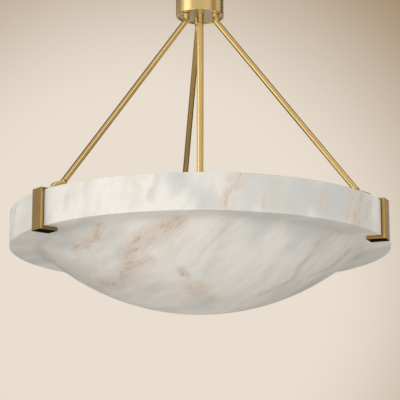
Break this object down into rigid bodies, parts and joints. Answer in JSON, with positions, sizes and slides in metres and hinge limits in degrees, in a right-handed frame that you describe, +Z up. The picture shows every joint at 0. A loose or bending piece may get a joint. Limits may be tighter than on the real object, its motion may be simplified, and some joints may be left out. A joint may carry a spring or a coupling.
{
  "type": "dome chandelier",
  "caption": "Shallow veined stone bowl with a flat rim and a domed base, clipped at its band by brass brackets and hung on slanting brass tubes and a lamp stem from a round canopy.",
  "frame": {"origin": "middle of the two box-screw slots, on the ceiling bar's top face, which lies on the ceiling", "axes": "+Z up, out of the part into the ceiling, so the part hangs towards -Z; +Y towards the first of the three arms, and through both box-screw slots; +X to its right"},
  "size_m": [0.914, 0.9235, 0.79],
  "materials": {
    "bowl_stone": "honed, translucent, veined",
    "brushed_brass": "brushed, warm",
    "bracket_brass": "brushed upright, darker, blackened under the lip",
    "plate_brass": "spun satin",
    "threaded_brass": "plain machined thread",
    "zinc_steel": "zinc plated",
    "ground_green": "green plated",
    "lead_black": "insulated wire",
    "lead_white": "insulated wire",
    "lead_green": "insulated wire",
    "connector_orange": "moulded, ribbed",
    "nylon_white": "moulded",
    "pad_brown": "matt",
    "porcelain": "glazed",
    "shell_brass": "pressed",
    "cap_nickel": "rolled thread",
    "lamp_body": "moulded",
    "lamp_globe": "opal, frosted"
  },
  "bodies": {
    "fixture": {"ceiling_bar": "zinc_steel", "ground_screw": "ground_green", "canopy_drum": "brushed_brass", "canopy_plate": "plate_brass", "canopy_screws": "brushed_brass", "live_lead": "lead_black", "neutral_lead": "lead_white", "earth_lead": "lead_green", "wire_connectors": "connector_orange", "stem_tube": "brushed_brass", "stem_top_nipple": "threaded_brass", "stem_locknut": "zinc_steel", "stem_lower_nipple": "threaded_brass", "stem_cable": "lead_black", "cable_bushes": "nylon_white", "arm_1": "brushed_brass", "arm_2": "brushed_brass", "arm_3": "brushed_brass", "arm_nuts": "brushed_brass", "arm_washers": "brushed_brass", "arm_locknuts": "zinc_steel", "arm_end_rings": "brushed_brass", "knuckle_studs": "zinc_steel", "elbow_1": "brushed_brass", "elbow_2": "brushed_brass", "elbow_3": "brushed_brass", "elbow_screws": "zinc_steel", "rim_bracket_1": "bracket_brass", "rim_bracket_2": "bracket_brass", "rim_bracket_3": "bracket_brass", "rim_pads": "pad_brown", "bowl": "bowl_stone", "cluster_cup": "brushed_brass", "cluster_lid": "brushed_brass", "cluster_finial": "brushed_brass", "socket_arms": "brushed_brass", "socket_cups": "brushed_brass", "lampholders": "porcelain", "screw_shells": "shell_brass", "centre_contacts": "shell_brass", "socket_leads": "lead_white"},
    "lamp_1": {"bulb_cap_1": "cap_nickel", "bulb_body_1": "lamp_body", "bulb_globe_1": "lamp_globe"},
    "lamp_2": {"bulb_cap_2": "cap_nickel", "bulb_body_2": "lamp_body", "bulb_globe_2": "lamp_globe"},
    "lamp_3": {"bulb_cap_3": "cap_nickel", "bulb_body_3": "lamp_body", "bulb_globe_3": "lamp_globe"},
    "lamp_4": {"bulb_cap_4": "cap_nickel", "bulb_body_4": "lamp_body", "bulb_globe_4": "lamp_globe"},
    "lamp_5": {"bulb_cap_5": "cap_nickel", "bulb_body_5": "lamp_body", "bulb_globe_5": "lamp_globe"},
    "lamp_6": {"bulb_cap_6": "cap_nickel", "bulb_body_6": "lamp_body", "bulb_globe_6": "lamp_globe"}
  },
  "joints": [
    {"name": "lamp_1_out", "type": "slide", "parent": "fixture", "child": "lamp_1", "axis": [0, 0, 1], "range_m": [0, 0.032]},
    {"name": "lamp_2_out", "type": "slide", "parent": "fixture", "child": "lamp_2", "axis": [0, 0, 1], "range_m": [0, 0.032]},
    {"name": "lamp_3_out", "type": "slide", "parent": "fixture", "child": "lamp_3", "axis": [0, 0, 1], "range_m": [0, 0.032]},
    {"name": "lamp_4_out", "type": "slide", "parent": "fixture", "child": "lamp_4", "axis": [0, 0, 1], "range_m": [0, 0.032]},
    {"name": "lamp_5_out", "type": "slide", "parent": "fixture", "child": "lamp_5", "axis": [0, 0, 1], "range_m": [0, 0.032]},
    {"name": "lamp_6_out", "type": "slide", "parent": "fixture", "child": "lamp_6", "axis": [0, 0, 1], "range_m": [0, 0.032]}
  ]
}
